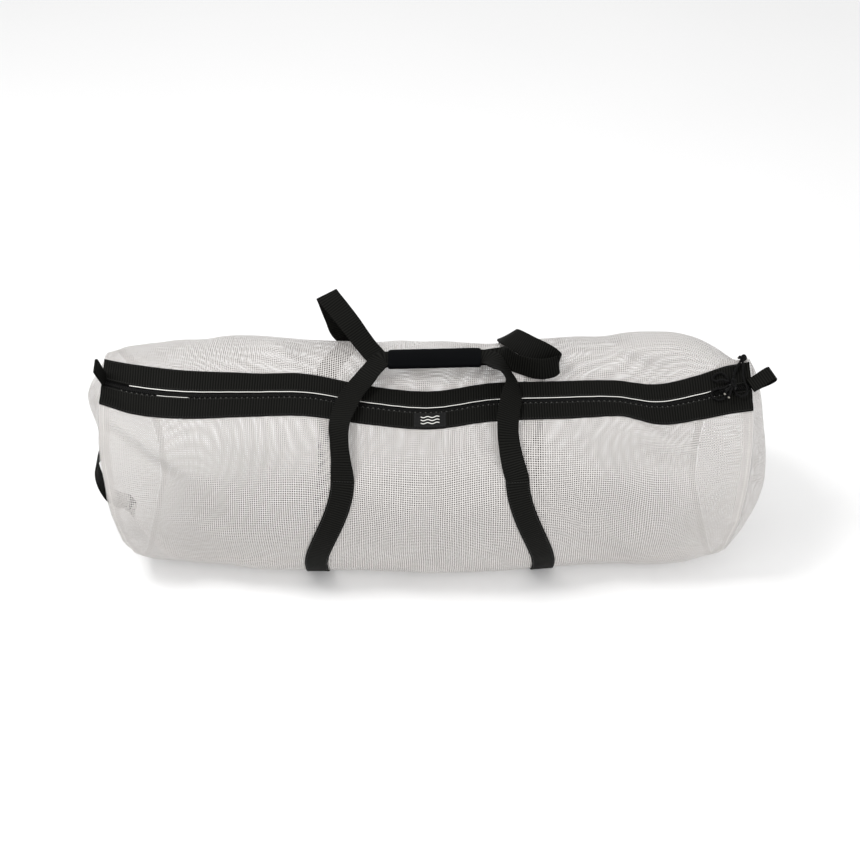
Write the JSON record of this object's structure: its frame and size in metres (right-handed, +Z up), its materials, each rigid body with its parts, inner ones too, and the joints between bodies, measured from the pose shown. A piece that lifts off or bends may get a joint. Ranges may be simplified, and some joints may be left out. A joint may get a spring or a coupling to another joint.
{
  "type": "mesh gear bag",
  "caption": "Long soft duffel of white see-through mesh lying on its side, with black webbing along the zip, side straps joined by a grip, an end handle and knotted zip pulls.",
  "frame": {"origin": "on the surface the bag lies on, under the middle of its length", "axes": "+X along the bag towards the end with the zip slider, -Y towards the viewer of the picture, +Z up"},
  "size_m": [1.1307, 0.397, 0.4043],
  "materials": {
    "white_mesh": "plastic-coated open mesh, satin",
    "black_webbing": "ribbed webbing, matt",
    "zip_tape": "woven tape, matt",
    "zip_coil": "moulded coil, satin",
    "dark_grip": "smooth foam wrap, matt",
    "label_cloth": "smooth woven patch",
    "slider_metal": "black, satin",
    "black_cord": "braided, matt"
  },
  "bodies": {
    "root": {"mesh_left": "white_mesh", "mesh_middle": "white_mesh", "mesh_right": "white_mesh", "end_panel_left": "white_mesh", "end_panel_right": "white_mesh", "zip_webbing_front": "black_webbing", "zip_webbing_back": "black_webbing", "zip_tape_front": "zip_tape", "zip_tape_back": "zip_tape", "zip_chain": "zip_coil", "handle_front": "black_webbing", "handle_back": "black_webbing", "handle_wrap": "dark_grip", "end_handle_left": "black_webbing", "zip_tab_left": "black_webbing", "zip_tab_right": "black_webbing", "label_patch": "label_cloth", "zip_slider": "slider_metal", "pull_cord_upper_back": "black_cord", "pull_cord_upper_front": "black_cord", "pull_knot_upper": "black_cord", "pull_cord_lower_back": "black_cord", "pull_cord_lower_front": "black_cord", "pull_knot_lower": "black_cord"}
  },
  "joints": []
}
